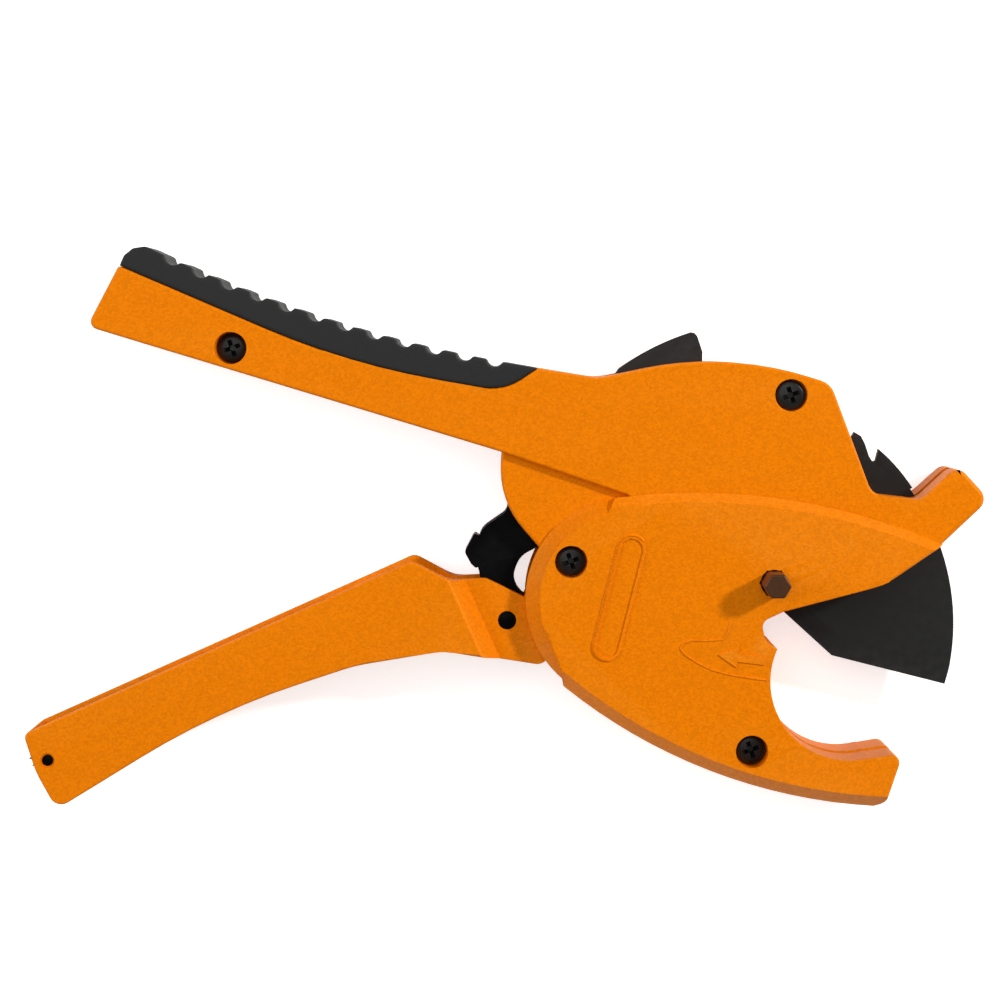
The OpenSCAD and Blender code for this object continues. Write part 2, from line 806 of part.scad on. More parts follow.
// Torsion springs are drawn as touching rings with two straight legs
module ring(r, wire) {
  rotate_extrude() translate([r, 0]) circle(r = wire);
}
module torsion_spring(r, wire, turns, leg_a, leg_b, len_a, len_b) {
  for (i = [0 : turns - 1]) translate([0, 0, wire + i * wire * 1.9]) ring(r, wire);
  leg_r = wire * 0.9;
  rotate(leg_a) translate([r, -wire / 2, wire]) rotate([-90, 0, 0]) cylinder(h = len_a, r = leg_r);
  rotate(leg_b) translate([r, wire / 2, wire + (turns - 1) * wire * 1.9]) rotate([90, 0, 0]) cylinder(h = len_b, r = leg_r);
}

module trigger_spring() {
  color("gray") at(trigger_pivot, mid_z - neck_in + 0.1)
    torsion_spring(bush_dia / 2 + 0.9, 0.5, 2, -60, 170, 12, 9);
}

// Drive pawl: two cheeks beside the blade plane, joined by a nose and a bent tab
function cheek_outline() = [
  head(-66.4, -10.5, 3),
  head(-66.2, -4.6, 1),
  head(-70.2, -0.4, 6),
  head(-67.4, 6.4, 6),
  head(-61.8, 9.3, 3),
  head(-62.5, 20, 6),
  head(-67, 28.6, 1),
  head(-71.2, 27.6, 1.5),
  head(-70.8, 18.7, 3),
  head(-77.6, 14, 5),
  head(-80.2, 7.6, 1),
  head(-78.6, 2.4, 3),
  head(-76.2, -10.5, 3),
  head(-71.2, -16.2, 4)
];
function nose_outline() = [
  head(-67.6, 24.2),
  head(-67, 28.2),
  head(-70.4, 27.4),
  head(-71, 23.2)
];
function tab_outline() = [
  head(-78.3, 11.6, 0.6),
  head(-79.8, 12.6, 0.6),
  head(-82.5, 7.4, 1.4),
  head(-80.7, 4.2, 1.4),
  head(-79.2, 2.8, 0.6),
  head(-78.5, 4, 0.6),
  head(-80, 6.8, 0.6)
];
module drive_pawl() {
  color("#2b2b2b") translate([0, 0, mid_z]) difference() {
    union() {
      for (m = [0, 1]) mirror([0, 0, m]) translate([0, 0, cheek_in]) slice(round_off(cheek_outline()), cheek_t);
      slice_both(round_off(nose_outline()), cheek_out - 0.2);
      slice_both(round_off(tab_outline()), cheek_out);
    }
    at(pawl_at, -big / 2) cylinder(h = big, r = pawl_pin_dia / 2 + run_fit);
  }
}

module pawl_pin() {
  color("#444444") at(pawl_at, mid_z - neck_out - 0.1) cylinder(h = 2 * neck_out + 0.2, r = pawl_pin_dia / 2);
}

module pawl_spring() {
  color("gray") at(pawl_at, mid_z - 1.3) torsion_spring(pawl_pin_dia / 2 + 0.6, 0.4, 2, 330, 150, 4, 4);
}

hold_pin_r = 1.5;
hold_pin_half = 7;
hold_boss_z = blade_h + 2.1;
function hold_outline() = [
  head(-71.8, 46.6, 2.5),
  head(-69.6, 42.4, 2.5),
  head(-63, 43.6, 3),
  head(-56.4, 45.1, 0.4),
  head(-55, 47.6, 0.4),
  head(-62, 48.4, 3),
  head(-69.4, 50, 3)
];
module holding_pawl() {
  color("#2b2b2b") translate([0, 0, mid_z]) difference() {
    slice_both(round_off(hold_outline()), blade_h);
    at(hold_at, -big / 2) cylinder(h = big, r = hold_pin_r + run_fit);
  }
}

module holding_pawl_pin() {
  color("silver") at(hold_at, mid_z - hold_pin_half) cylinder(h = 2 * hold_pin_half, r = hold_pin_r);
}

module holding_pawl_spring() {
  color("gray") at(hold_at, mid_z + blade_h + 0.15) torsion_spring(hold_pin_r + 0.6, 0.4, 2, 185, 40, 5, 4);
}

// Thumb latch: hub with serrations, and an arm whose notch drops over the catch bar
arm_half = 3.4;
serration_count = 4;
module latch() {
  color("#222222") at(latch_at, mid_z - latch_h) rotate(arm_angle) linear_extrude(2 * latch_h) difference() {
    union() {
      circle(r = latch_r - 0.4);
      translate([0, -arm_half]) square([hook_at[0] + 4.4, 2 * arm_half]);
      for (i = [0 : serration_count - 1]) rotate(152 + 19 * i)
        polygon([[3, -1.7], [latch_r + 1.1 - 0.15 * i, -0.8], [3, 1.2]]);
    }
    circle(r = bar_r + run_fit);
    translate([hook_at[0] - bar_r - 0.4, hook_at[1] - bar_r - 0.15]) square([2 * bar_r + 0.8, big]);
  }
}

module latch_pin() {
  color("#444444") at(latch_at, mid_z - trigger_width / 2 + 0.1) cylinder(h = trigger_width - 0.2, r = bar_r);
}

module latch_spring() {
  color("gray") at(latch_at, mid_z - latch_h - 0.25) ring(bar_r + 0.5, 0.22);
}

bar_half = handle_h - 1.6;
module catch_bar() {
  color("silver") at(bar_at, mid_z - bar_half) cylinder(h = 2 * bar_half, r = bar_r);
}

front_shell();
rear_shell();
grip_pad();
handle_screw();
head_screw();
jaw_screw();
trigger_pivot_screw();
trigger_bush();
blade();
blade_pin();
pin_clip();
blade_washers();
trigger_handle();
trigger_spring();
drive_pawl();
pawl_pin();
pawl_spring();
holding_pawl();
holding_pawl_pin();
holding_pawl_spring();
latch();
latch_pin();
latch_spring();
catch_bar();
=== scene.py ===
import bpy
import json
import math
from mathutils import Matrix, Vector


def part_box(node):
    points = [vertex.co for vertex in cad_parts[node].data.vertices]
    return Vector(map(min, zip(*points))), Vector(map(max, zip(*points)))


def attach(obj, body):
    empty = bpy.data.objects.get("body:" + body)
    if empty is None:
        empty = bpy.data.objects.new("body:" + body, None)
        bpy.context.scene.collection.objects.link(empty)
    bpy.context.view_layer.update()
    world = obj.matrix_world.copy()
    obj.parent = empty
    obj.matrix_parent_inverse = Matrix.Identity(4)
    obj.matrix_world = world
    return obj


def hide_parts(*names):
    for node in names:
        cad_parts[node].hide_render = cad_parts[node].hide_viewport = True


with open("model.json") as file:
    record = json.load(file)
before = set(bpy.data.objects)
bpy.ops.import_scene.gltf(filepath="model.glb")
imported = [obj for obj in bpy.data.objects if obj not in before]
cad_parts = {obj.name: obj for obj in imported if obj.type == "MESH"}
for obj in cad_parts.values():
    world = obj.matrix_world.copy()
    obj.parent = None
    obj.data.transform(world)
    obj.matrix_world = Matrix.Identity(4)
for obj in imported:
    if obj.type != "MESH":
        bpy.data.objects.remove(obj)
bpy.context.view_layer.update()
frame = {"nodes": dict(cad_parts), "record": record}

print("frame loaded:", len(frame["nodes"]), "nodes")

scene = bpy.context.scene
mm = 0.001
midPlane = 13 * mm  # the blade's mid plane, where the two shells meet


cameraSettings = {
    "axisPoint": (-72.9 * mm, 64.6 * mm),  # the point straight under the lens
    "height": 646 * mm,
    "viewWidth": 265.7 * mm,
    "viewDistance": 620 * mm,
    "shiftDown": -0.16,
    "sensor": 36,
    "clip": (0.01, 20),
}


def placeCamera(settings):
    data = bpy.data.cameras.new("camera")
    data.sensor_width = settings["sensor"]
    data.lens = settings["sensor"] * settings["viewDistance"] / settings["viewWidth"]
    data.shift_y = settings["shiftDown"]
    data.clip_start, data.clip_end = settings["clip"]
    camera = bpy.data.objects.new("camera", data)
    camera.location = (*settings["axisPoint"], settings["height"])
    scene.collection.objects.link(camera)
    scene.camera = camera


lightSettings = {
    "key": {"from": (0.89, 0.45, 0.66), "distance": 1.5, "size": 0.16,
            "watts": 16.5, "colour": (1.0, 0.97, 0.92)},
    "top": {"from": (-0.15, 0.35, 1.0), "distance": 1.3, "size": 1.1,
            "watts": 4.0, "colour": (1.0, 1.0, 1.0)},
    "left": {"from": (-1.0, 0.25, 0.45), "distance": 1.2, "size": 0.7,
             "watts": 5.5, "colour": (0.96, 0.98, 1.0)},
}
lightTarget = Vector((-60 * mm, 10 * mm, 15 * mm))


def placeLights(settings):
    for name, one in settings.items():
        data = bpy.data.lights.new(name, "AREA")
        data.shape = "DISK"
        data.size = one["size"]
        data.energy = one["watts"]
        data.color = one["colour"]
        light = bpy.data.objects.new(name, data)
        direction = Vector(one["from"]).normalized()
        light.location = lightTarget + direction * one["distance"]
        light.rotation_mode = "QUATERNION"
        light.rotation_quaternion = (-direction).to_track_quat("-Z", "Y")
        scene.collection.objects.link(light)


floorSettings = {
    "size": 6.0, "drop": -0.02 * mm,
    "colour": (0.93, 0.93, 0.93, 1), "roughness": 0.9, "specular": 0.1,
    "glow": 0.62,  # seen by the camera only, so that the paper stays white
}


def layFloor(settings):
    bpy.ops.object.select_all(action="DESELECT")
    bpy.ops.mesh.primitive_plane_add(size=settings["size"], location=(0, 0, settings["drop"]))
    floor = bpy.context.object
    floor.name = "floor"
    bpy.ops.object.transform_apply(location=True)
    paper = bpy.data.materials.new("paleFloor")
    paper.use_nodes = True
    nodes, links = paper.node_tree.nodes, paper.node_tree.links
    shader = nodes["Principled BSDF"]
    shader.inputs["Base Color"].default_value = settings["colour"]
    shader.inputs["Roughness"].default_value = settings["roughness"]
    shader.inputs["Specular IOR Level"].default_value = settings["specular"]
    shader.inputs["Emission Color"].default_value = (1, 1, 1, 1)
    sight = nodes.new("ShaderNodeLightPath")
    glow = nodes.new("ShaderNodeMath")
    glow.operation = "MULTIPLY"
    glow.inputs[1].default_value = settings["glow"]
    links.new(sight.outputs["Is Camera Ray"], glow.inputs[0])
    links.new(glow.outputs[0], shader.inputs["Emission Strength"])
    floor.data.materials.append(paper)


surroundSettings = {"colour": (1, 1, 1, 1), "strength": 0.3}


def lightSurround(settings):
    world = bpy.data.worlds.new("studio")
    scene.world = world
    world.use_nodes = True
    background = world.node_tree.nodes["Background"]
    background.inputs["Color"].default_value = settings["colour"]
    background.inputs["Strength"].default_value = settings["strength"]
    scene.view_settings.view_transform = "Standard"


placeCamera(cameraSettings)
placeLights(lightSettings)
layFloor(floorSettings)
lightSurround(surroundSettings)
print("camera, floor and lights placed")


def newGroup(name, inputs, outputs):
    group = bpy.data.node_groups.new(name, "ShaderNodeTree")
    for label, kind, value in inputs:
        socket = group.interface.new_socket(name=label, in_out="INPUT", socket_type=kind)
        if value is not None:
            socket.default_value = value
    for label, kind in outputs:
        group.interface.new_socket(name=label, in_out="OUTPUT", socket_type=kind)
    return group, group.nodes.new("NodeGroupInput"), group.nodes.new("NodeGroupOutput")


def makeGrainGroup():
    # fine bumps of a powder coat or a moulded skin, with a second, broader ripple
    group, given, out = newGroup(
        "surfaceGrain",
        [("Scale", "NodeSocketFloat", 2000.0),
         ("Ripple Scale", "NodeSocketFloat", 300.0),
         ("Ripple", "NodeSocketFloat", 0.3)],
        [("Height", "NodeSocketFloat"), ("Speckle", "NodeSocketFloat")],
    )
    nodes, links = group.nodes, group.links
    place = nodes.new("ShaderNodeTexCoord")
    fine = nodes.new("ShaderNodeTexNoise")
    fine.inputs["Detail"].default_value = 2
    broad = nodes.new("ShaderNodeTexNoise")
    broad.inputs["Detail"].default_value = 1
    links.new(place.outputs["Object"], fine.inputs["Vector"])
    links.new(place.outputs["Object"], broad.inputs["Vector"])
    links.new(given.outputs["Scale"], fine.inputs["Scale"])
    links.new(given.outputs["Ripple Scale"], broad.inputs["Scale"])
    weigh = nodes.new("ShaderNodeMath")
    weigh.operation = "MULTIPLY_ADD"
    links.new(broad.outputs["Fac"], weigh.inputs[0])
    links.new(given.outputs["Ripple"], weigh.inputs[1])
    links.new(fine.outputs["Fac"], weigh.inputs[2])
    links.new(weigh.outputs[0], out.inputs["Height"])
    flakes = nodes.new("ShaderNodeTexVoronoi")
    links.new(place.outputs["Object"], flakes.inputs["Vector"])
    links.new(given.outputs["Scale"], flakes.inputs["Scale"])
    pick = nodes.new("ShaderNodeSeparateColor")
    links.new(flakes.outputs["Color"], pick.inputs[0])
    links.new(pick.outputs[0], out.inputs["Speckle"])
    return group


wearAndHighlightPatches = {"scale": 420, "detail": 3}


def makeWearAndHighlightGroup():
    # lighter edges, in broken patches, from how sharply the surface turns: rubbed wear on most finishes,
    # and a painted edge highlight on the pawl steel
    group, given, out = newGroup(
        "edgeWearAndHighlight",
        [("Base", "NodeSocketColor", (0.5, 0.5, 0.5, 1)),
         ("Rubbed And Highlight", "NodeSocketColor", (0.8, 0.8, 0.8, 1)),
         ("Amount", "NodeSocketFloat", 0.5),
         ("Start", "NodeSocketFloat", 0.52),
         ("End", "NodeSocketFloat", 0.62)],
        [("Color", "NodeSocketColor")],
    )
    nodes, links = group.nodes, group.links
    geometry = nodes.new("ShaderNodeNewGeometry")
    place = nodes.new("ShaderNodeTexCoord")
    patches = nodes.new("ShaderNodeTexNoise")
    patches.inputs["Scale"].default_value = wearAndHighlightPatches["scale"]
    patches.inputs["Detail"].default_value = wearAndHighlightPatches["detail"]
    links.new(place.outputs["Object"], patches.inputs["Vector"])
    remap = nodes.new("ShaderNodeMapRange")
    remap.clamp = True
    links.new(geometry.outputs["Pointiness"], remap.inputs["Value"])
    links.new(given.outputs["Start"], remap.inputs["From Min"])
    links.new(given.outputs["End"], remap.inputs["From Max"])
    broken = nodes.new("ShaderNodeMath")
    broken.operation = "MULTIPLY"
    links.new(remap.outputs["Result"], broken.inputs[0])
    links.new(patches.outputs["Fac"], broken.inputs[1])
    scaled = nodes.new("ShaderNodeMath")
    scaled.operation = "MULTIPLY"
    scaled.use_clamp = True
    links.new(broken.outputs[0], scaled.inputs[0])
    links.new(given.outputs["Amount"], scaled.inputs[1])
    mix = nodes.new("ShaderNodeMix")
    mix.data_type = "RGBA"
    links.new(scaled.outputs[0], mix.inputs[0])
    links.new(given.outputs["Base"], mix.inputs[6])
    links.new(given.outputs["Rubbed And Highlight"], mix.inputs[7])
    links.new(mix.outputs[2], out.inputs["Color"])
    return group


def makeToneGroup():
    # slow change of tone over a surface, as handling and a thin film of dust leave it
    group, given, out = newGroup(
        "toneDrift",
        [("Color", "NodeSocketColor", (0.5, 0.5, 0.5, 1)),
         ("Scale", "NodeSocketFloat", 60.0),
         ("Amount", "NodeSocketFloat", 0.1),
         ("Roughness", "NodeSocketFloat", 0.4),
         ("Roughness Drift", "NodeSocketFloat", 0.1)],
        [("Color", "NodeSocketColor"), ("Roughness", "NodeSocketFloat")],
    )
    nodes, links = group.nodes, group.links
    place = nodes.new("ShaderNodeTexCoord")
    drift = nodes.new("ShaderNodeTexNoise")
    drift.inputs["Detail"].default_value = 4
    links.new(place.outputs["Object"], drift.inputs["Vector"])
    links.new(given.outputs["Scale"], drift.inputs["Scale"])
    centred = nodes.new("ShaderNodeMath")
    centred.operation = "SUBTRACT"
    centred.inputs[1].default_value = 0.5
    links.new(drift.outputs["Fac"], centred.inputs[0])
    tone = nodes.new("ShaderNodeMath")
    tone.operation = "MULTIPLY_ADD"
    tone.inputs[2].default_value = 1
    links.new(centred.outputs[0], tone.inputs[0])
    links.new(given.outputs["Amount"], tone.inputs[1])
    shade = nodes.new("ShaderNodeVectorMath")
    shade.operation = "SCALE"
    links.new(given.outputs["Color"], shade.inputs[0])
    links.new(tone.outputs[0], shade.inputs["Scale"])
    links.new(shade.outputs[0], out.inputs["Color"])
    rough = nodes.new("ShaderNodeMath")
    rough.operation = "MULTIPLY_ADD"
    links.new(centred.outputs[0], rough.inputs[0])
    links.new(given.outputs["Roughness Drift"], rough.inputs[1])
    links.new(given.outputs["Roughness"], rough.inputs[2])
    links.new(rough.outputs[0], out.inputs["Roughness"])
    return group


def makeBrushGroup():
    # long fine scratches that run one way, as grinding leaves them
    group, given, out = newGroup(
        "brushMarks",
        [("Turn", "NodeSocketVector", (0, 0, 0)), ("Stretch", "NodeSocketVector", (120, 3500, 120))],
        [("Height", "NodeSocketFloat")],
    )
    nodes, links = group.nodes, group.links
    place = nodes.new("ShaderNodeTexCoord")
    turn = nodes.new("ShaderNodeMapping")
    links.new(place.outputs["Object"], turn.inputs["Vector"])
    links.new(given.outputs["Turn"], turn.inputs["Rotation"])
    stretch = nodes.new("ShaderNodeVectorMath")
    stretch.operation = "MULTIPLY"
    links.new(turn.outputs["Vector"], stretch.inputs[0])
    links.new(given.outputs["Stretch"], stretch.inputs[1])
    lines = nodes.new("ShaderNodeTexNoise")
    lines.inputs["Scale"].default_value = 1
    lines.inputs["Detail"].default_value = 3
    links.new(stretch.outputs[0], lines.inputs["Vector"])
    links.new(lines.outputs["Fac"], out.inputs["Height"])
    return group


grainGroup = makeGrainGroup()
wearAndHighlightGroup = makeWearAndHighlightGroup()
toneGroup = makeToneGroup()
brushGroup = makeBrushGroup()


def finishMaterial(name, settings):
    # tone drift, then edge wear over it (on the pawl steel a painted edge highlight), with grain and any
    # brush marks as bumps
    material = bpy.data.materials.new(name)
    material.use_nodes = True
    nodes, links = material.node_tree.nodes, material.node_tree.links
    shader = nodes["Principled BSDF"]
    shader.inputs["Metallic"].default_value = settings.get("metallic", 0)
    shader.inputs["Specular IOR Level"].default_value = settings.get("specular", 0.5)
    shader.inputs["Specular Tint"].default_value = (*settings.get("tint", (1, 1, 1)), 1)
    tone = nodes.new("ShaderNodeGroup")
    tone.node_tree = toneGroup
    tone.inputs["Color"].default_value = (*settings["colour"], 1)
    tone.inputs["Scale"].default_value = settings["driftScale"]
    tone.inputs["Amount"].default_value = settings["drift"]
    tone.inputs["Roughness"].default_value = settings["roughness"]
    tone.inputs["Roughness Drift"].default_value = settings["roughnessDrift"]
    wearAndHighlight = nodes.new("ShaderNodeGroup")
    wearAndHighlight.node_tree = wearAndHighlightGroup
    wearAndHighlight.inputs["Rubbed And Highlight"].default_value = (*settings["rubbedAndHighlight"], 1)
    wearAndHighlight.inputs["Amount"].default_value = settings["wearAndHighlight"]
    grain = nodes.new("ShaderNodeGroup")
    grain.node_tree = grainGroup
    grain.inputs["Scale"].default_value = settings["grainScale"]
    grain.inputs["Ripple Scale"].default_value = settings["rippleScale"]
    grain.inputs["Ripple"].default_value = settings["ripple"]
    links.new(tone.outputs["Color"], wearAndHighlight.inputs["Base"])
    colour = wearAndHighlight.outputs["Color"]
    if settings.get("speckle"):
        lift = nodes.new("ShaderNodeMapRange")
        lift.inputs["From Min"].default_value = 0
        lift.inputs["From Max"].default_value = 1
        lift.inputs["To Min"].default_value = 1 - settings["speckle"]
        lift.inputs["To Max"].default_value = 1 + settings["speckle"]
        links.new(grain.outputs["Speckle"], lift.inputs["Value"])
        fleck = nodes.new("ShaderNodeVectorMath")
        fleck.operation = "SCALE"
        links.new(colour, fleck.inputs[0])
        links.new(lift.outputs["Result"], fleck.inputs["Scale"])
        colour = fleck.outputs[0]
    links.new(colour, shader.inputs["Base Color"])
    links.new(tone.outputs["Roughness"], shader.inputs["Roughness"])
    bump = nodes.new("ShaderNodeBump")
    bump.inputs["Strength"].default_value = settings["bump"]
    bump.inputs["Distance"].default_value = settings["bumpDepth"]
    height = grain.outputs["Height"]
    if "brush" in settings:
        brush = nodes.new("ShaderNodeGroup")
        brush.node_tree = brushGroup
        brush.inputs["Turn"].default_value = settings["brush"]["turn"]
        brush.inputs["Stretch"].default_value = settings["brush"]["stretch"]
        both = nodes.new("ShaderNodeMath")
        both.operation = "MULTIPLY_ADD"
        both.inputs[1].default_value = settings["brush"]["share"]
        links.new(brush.outputs["Height"], both.inputs[0])
        links.new(height, both.inputs[2])
        height = both.outputs[0]
    links.new(height, bump.inputs["Height"])
    links.new(bump.outputs["Normal"], shader.inputs["Normal"])
    return material


powderCoat = finishMaterial("powderCoat", {
    "colour": (0.80, 0.196, 0.0005), "drift": 0.05, "driftScale": 45,
    "roughness": 0.44, "roughnessDrift": 0.16,
    "specular": 0.42, "tint": (1.0, 0.42, 0.06),
    "rubbedAndHighlight": (0.95, 0.36, 0.04), "wearAndHighlight": 0.35,
    "grainScale": 1900, "rippleScale": 620, "ripple": 0.6, "speckle": 0.10,
    "bump": 0.5, "bumpDepth": 0.00016,
})
gripRubber = finishMaterial("gripRubber", {
    "colour": (0.012, 0.012, 0.0125), "drift": 0.2, "driftScale": 70,
    "roughness": 0.5, "roughnessDrift": 0.15,
    "specular": 0.28,
    "rubbedAndHighlight": (0.07, 0.07, 0.07), "wearAndHighlight": 0.5,
    "grainScale": 2600, "rippleScale": 500, "ripple": 0.2,
    "bump": 0.3, "bumpDepth": 0.0001,
})
screwBlack = finishMaterial("screwBlack", {
    "colour": (0.007, 0.0065, 0.006), "drift": 0.3, "driftScale": 300,
    "roughness": 0.3, "roughnessDrift": 0.2,
    "specular": 0.3,
    "rubbedAndHighlight": (0.16, 0.15, 0.14), "wearAndHighlight": 0.6,
    "grainScale": 3000, "rippleScale": 900, "ripple": 0.4,
    "bump": 0.2, "bumpDepth": 0.00005,
})
bladeCoating = finishMaterial("bladeCoating", {
    "colour": (0.0095, 0.0095, 0.0092), "drift": 0.2, "driftScale": 50,
    "roughness": 0.4, "roughnessDrift": 0.12,
    "specular": 0.2,
    "rubbedAndHighlight": (0.10, 0.10, 0.10), "wearAndHighlight": 0.5,
    "grainScale": 3500, "rippleScale": 700, "ripple": 0.3,
    "bump": 0.15, "bumpDepth": 0.00005,
    "brush": {"turn": (0, 0, 0.5), "stretch": (130, 3600, 100), "share": 1.2},
})
# its lighter rubbed edges are a painted highlight, standing in for light caught on the pawl's rim
pawlSteel = finishMaterial("pawlSteel", {
    "colour": (0.002, 0.002, 0.0022), "drift": 0.3, "driftScale": 160,
    "roughness": 0.2, "roughnessDrift": 0.2,
    "specular": 0.03,
    "rubbedAndHighlight": (0.05, 0.05, 0.05), "wearAndHighlight": 0.1,
    "grainScale": 2600, "rippleScale": 500, "ripple": 0.5,
    "bump": 0.2, "bumpDepth": 0.00006,
})
pinSteel = finishMaterial("pinSteel", {
    "colour": (0.075, 0.03, 0.014), "drift": 0.5, "driftScale": 500,
    "roughness": 0.36, "roughnessDrift": 0.2, "metallic": 0.5,
    "specular": 0.3, "tint": (1.0, 0.7, 0.5),
    "rubbedAndHighlight": (0.35, 0.22, 0.16), "wearAndHighlight": 0.7,
    "grainScale": 3200, "rippleScale": 900, "ripple": 0.5,
    "bump": 0.25, "bumpDepth": 0.00008,
})
brightSteel = finishMaterial("brightSteel", {
    "colour": (0.56, 0.55, 0.53), "drift": 0.15, "driftScale": 200,
    "roughness": 0.26, "roughnessDrift": 0.2, "metallic": 1.0,
    "rubbedAndHighlight": (0.8, 0.8, 0.8), "wearAndHighlight": 0.3,
    "grainScale": 4000, "rippleScale": 600, "ripple": 0.2,
    "bump": 0.12, "bumpDepth": 0.00004,
    "brush": {"turn": (0, 0, 0), "stretch": (2600, 2600, 90), "share": 0.8},
})
springSteel = finishMaterial("springSteel", {
    "colour": (0.33, 0.33, 0.35), "drift": 0.2, "driftScale": 400,
    "roughness": 0.3, "roughnessDrift": 0.15, "metallic": 1.0,
    "rubbedAndHighlight": (0.6, 0.6, 0.6), "wearAndHighlight": 0.3,
    "grainScale": 4200, "rippleScale": 900, "ripple": 0.3,
    "bump": 0.12, "bumpDepth": 0.00003,
})

slotFinish = {
    "orange_paint": powderCoat,
    "grip_rubber": gripRubber,
    "black_screws": screwBlack,
    "blade_coating": bladeCoating,
    "black_steel": pawlSteel,
    "bronzed_steel": pinSteel,
    "bright_steel": brightSteel,
    "spring_steel": springSteel,
}
nodeSlot = {row["node"]: row["material_slot"] for row in frame["record"]["subparts"]}
bodies = frame["record"]["behaviour"]["bodies"]
bodyOf = {node: body for body, members in bodies.items() for node in members}
for name, node in frame["nodes"].items():
    node.data.materials.clear()
    node.data.materials.append(slotFinish[nodeSlot[name]])
print("finishes made:", len(slotFinish))


def selectOnly(piece):
    if bpy.context.object and bpy.context.object.mode != "OBJECT":
        bpy.ops.object.mode_set(mode="OBJECT")
    bpy.ops.object.select_all(action="DESELECT")
    piece.select_set(True)
    bpy.context.view_layer.objects.active = piece


def startEdit(piece, selectMode="EDGE"):
    selectOnly(piece)
    bpy.ops.object.mode_set(mode="EDIT")
    bpy.ops.mesh.select_mode(type=selectMode)
    bpy.ops.mesh.select_all(action="DESELECT")


def endEdit():
    bpy.ops.object.mode_set(mode="OBJECT")


weldDistance = 0.002 * mm
wireWeld = 0.001 * mm
broadFaceWeight = 80
flatAngle = math.radians(0.5)  # faces that turn less than this become one


def mergedCopy(nodeName, pieceName):
    # a working copy of a node's mesh, its loose triangles merged into whole faces
    source = frame["nodes"][nodeName]
    mesh = source.data.copy()
    mesh.name = pieceName
    piece = bpy.data.objects.new(pieceName, mesh)
    scene.collection.objects.link(piece)
    startEdit(piece)
    bpy.ops.mesh.select_all(action="SELECT")
    bpy.ops.mesh.customdata_custom_splitnormals_clear()
    bpy.ops.mesh.remove_doubles(threshold=weldDistance)
    bpy.ops.mesh.dissolve_limited(angle_limit=flatAngle)
    endEdit()
    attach(piece, bodyOf[nodeName])
    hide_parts(nodeName)
    return piece


def edgeAngle(mesh):
    # how far the two faces of each edge turn, in degrees, and whether the edge stands proud
    faces = {}
    for polygon in mesh.polygons:
        for key in polygon.edge_keys:
            faces.setdefault(key, []).append(polygon)
    turns = {}
    for edge in mesh.edges:
        pair = faces.get(edge.key, [])
        if len(pair) != 2:
            continue
        a, b = pair
        turn = math.degrees(a.normal.angle(b.normal, 0))
        proud = (b.center - a.center).dot(a.normal) < 0
        turns[edge.index] = (turn, proud)
    return turns


def bevelEdges(piece, width, segments, chooses, sharpness=28):
    # rounds the sharp edges that chooses() picks by middle, ends, standing proud and turn
    mesh = piece.data
    turns = edgeAngle(mesh)
    startEdit(piece)
    bpy.ops.object.mode_set(mode="OBJECT")
    picked = 0
    for edge in mesh.edges:
        turn, proud = turns.get(edge.index, (0, False))
        if turn < sharpness:
            continue
        a, b = (mesh.vertices[i].co for i in edge.vertices)
        if chooses((a + b) / 2, a, b, proud, turn):
            edge.select = True
            picked += 1
    bpy.ops.object.mode_set(mode="EDIT")
    bpy.ops.mesh.bevel(offset=width, offset_type="OFFSET", segments=segments, profile=0.5,
                       affect="EDGES", clamp_overlap=False)
    endEdit()
    print(piece.name, "edges rounded:", picked)


def smoothShade(piece, angle=30):
    # smooth over the rounded edges, with the broad faces left flat
    selectOnly(piece)
    bpy.ops.object.shade_smooth_by_angle(angle=math.radians(angle))
    weighted = piece.modifiers.new("flatFaces", "WEIGHTED_NORMAL")
    weighted.keep_sharp = True
    weighted.weight = broadFaceWeight
    bpy.ops.object.modifier_apply(modifier="flatFaces")


shellSettings = {
    "rim": 0.75 * mm, "rimSegments": 4,
    "mouth": 0.4 * mm, "mouthCentre": Vector((14 * mm, -24 * mm)), "mouthReach": 27 * mm,
    "lug": 1.3 * mm, "lugSegments": 5, "lugFrom": (40.5 * mm, 12 * mm),
    "screwRim": 0.3 * mm, "screwSegments": 2, "screwRimFrom": 10.9 * mm, "holeReach": 5 * mm,
    "mark": 0.14 * mm, "markSegments": 1, "markFrom": 13.3 * mm,
    "squareTurn": 70,
    "sliver": 0.03 * mm,
}
outerLevels = [8.8 * mm, 11 * mm, 13 * mm]  # disc, handle and jaw panel, from the mid plane
holeNodes = ["handle_screw", "head_screw", "jaw_screw", "trigger_pivot_screw", "blade_pin"]


def nearAny(value, levels, slack=0.03 * mm):
    return any(abs(value - level) < slack for level in levels)


def nodeCentre(nodeName):
    low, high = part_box(nodeName)
    return (low + high) / 2


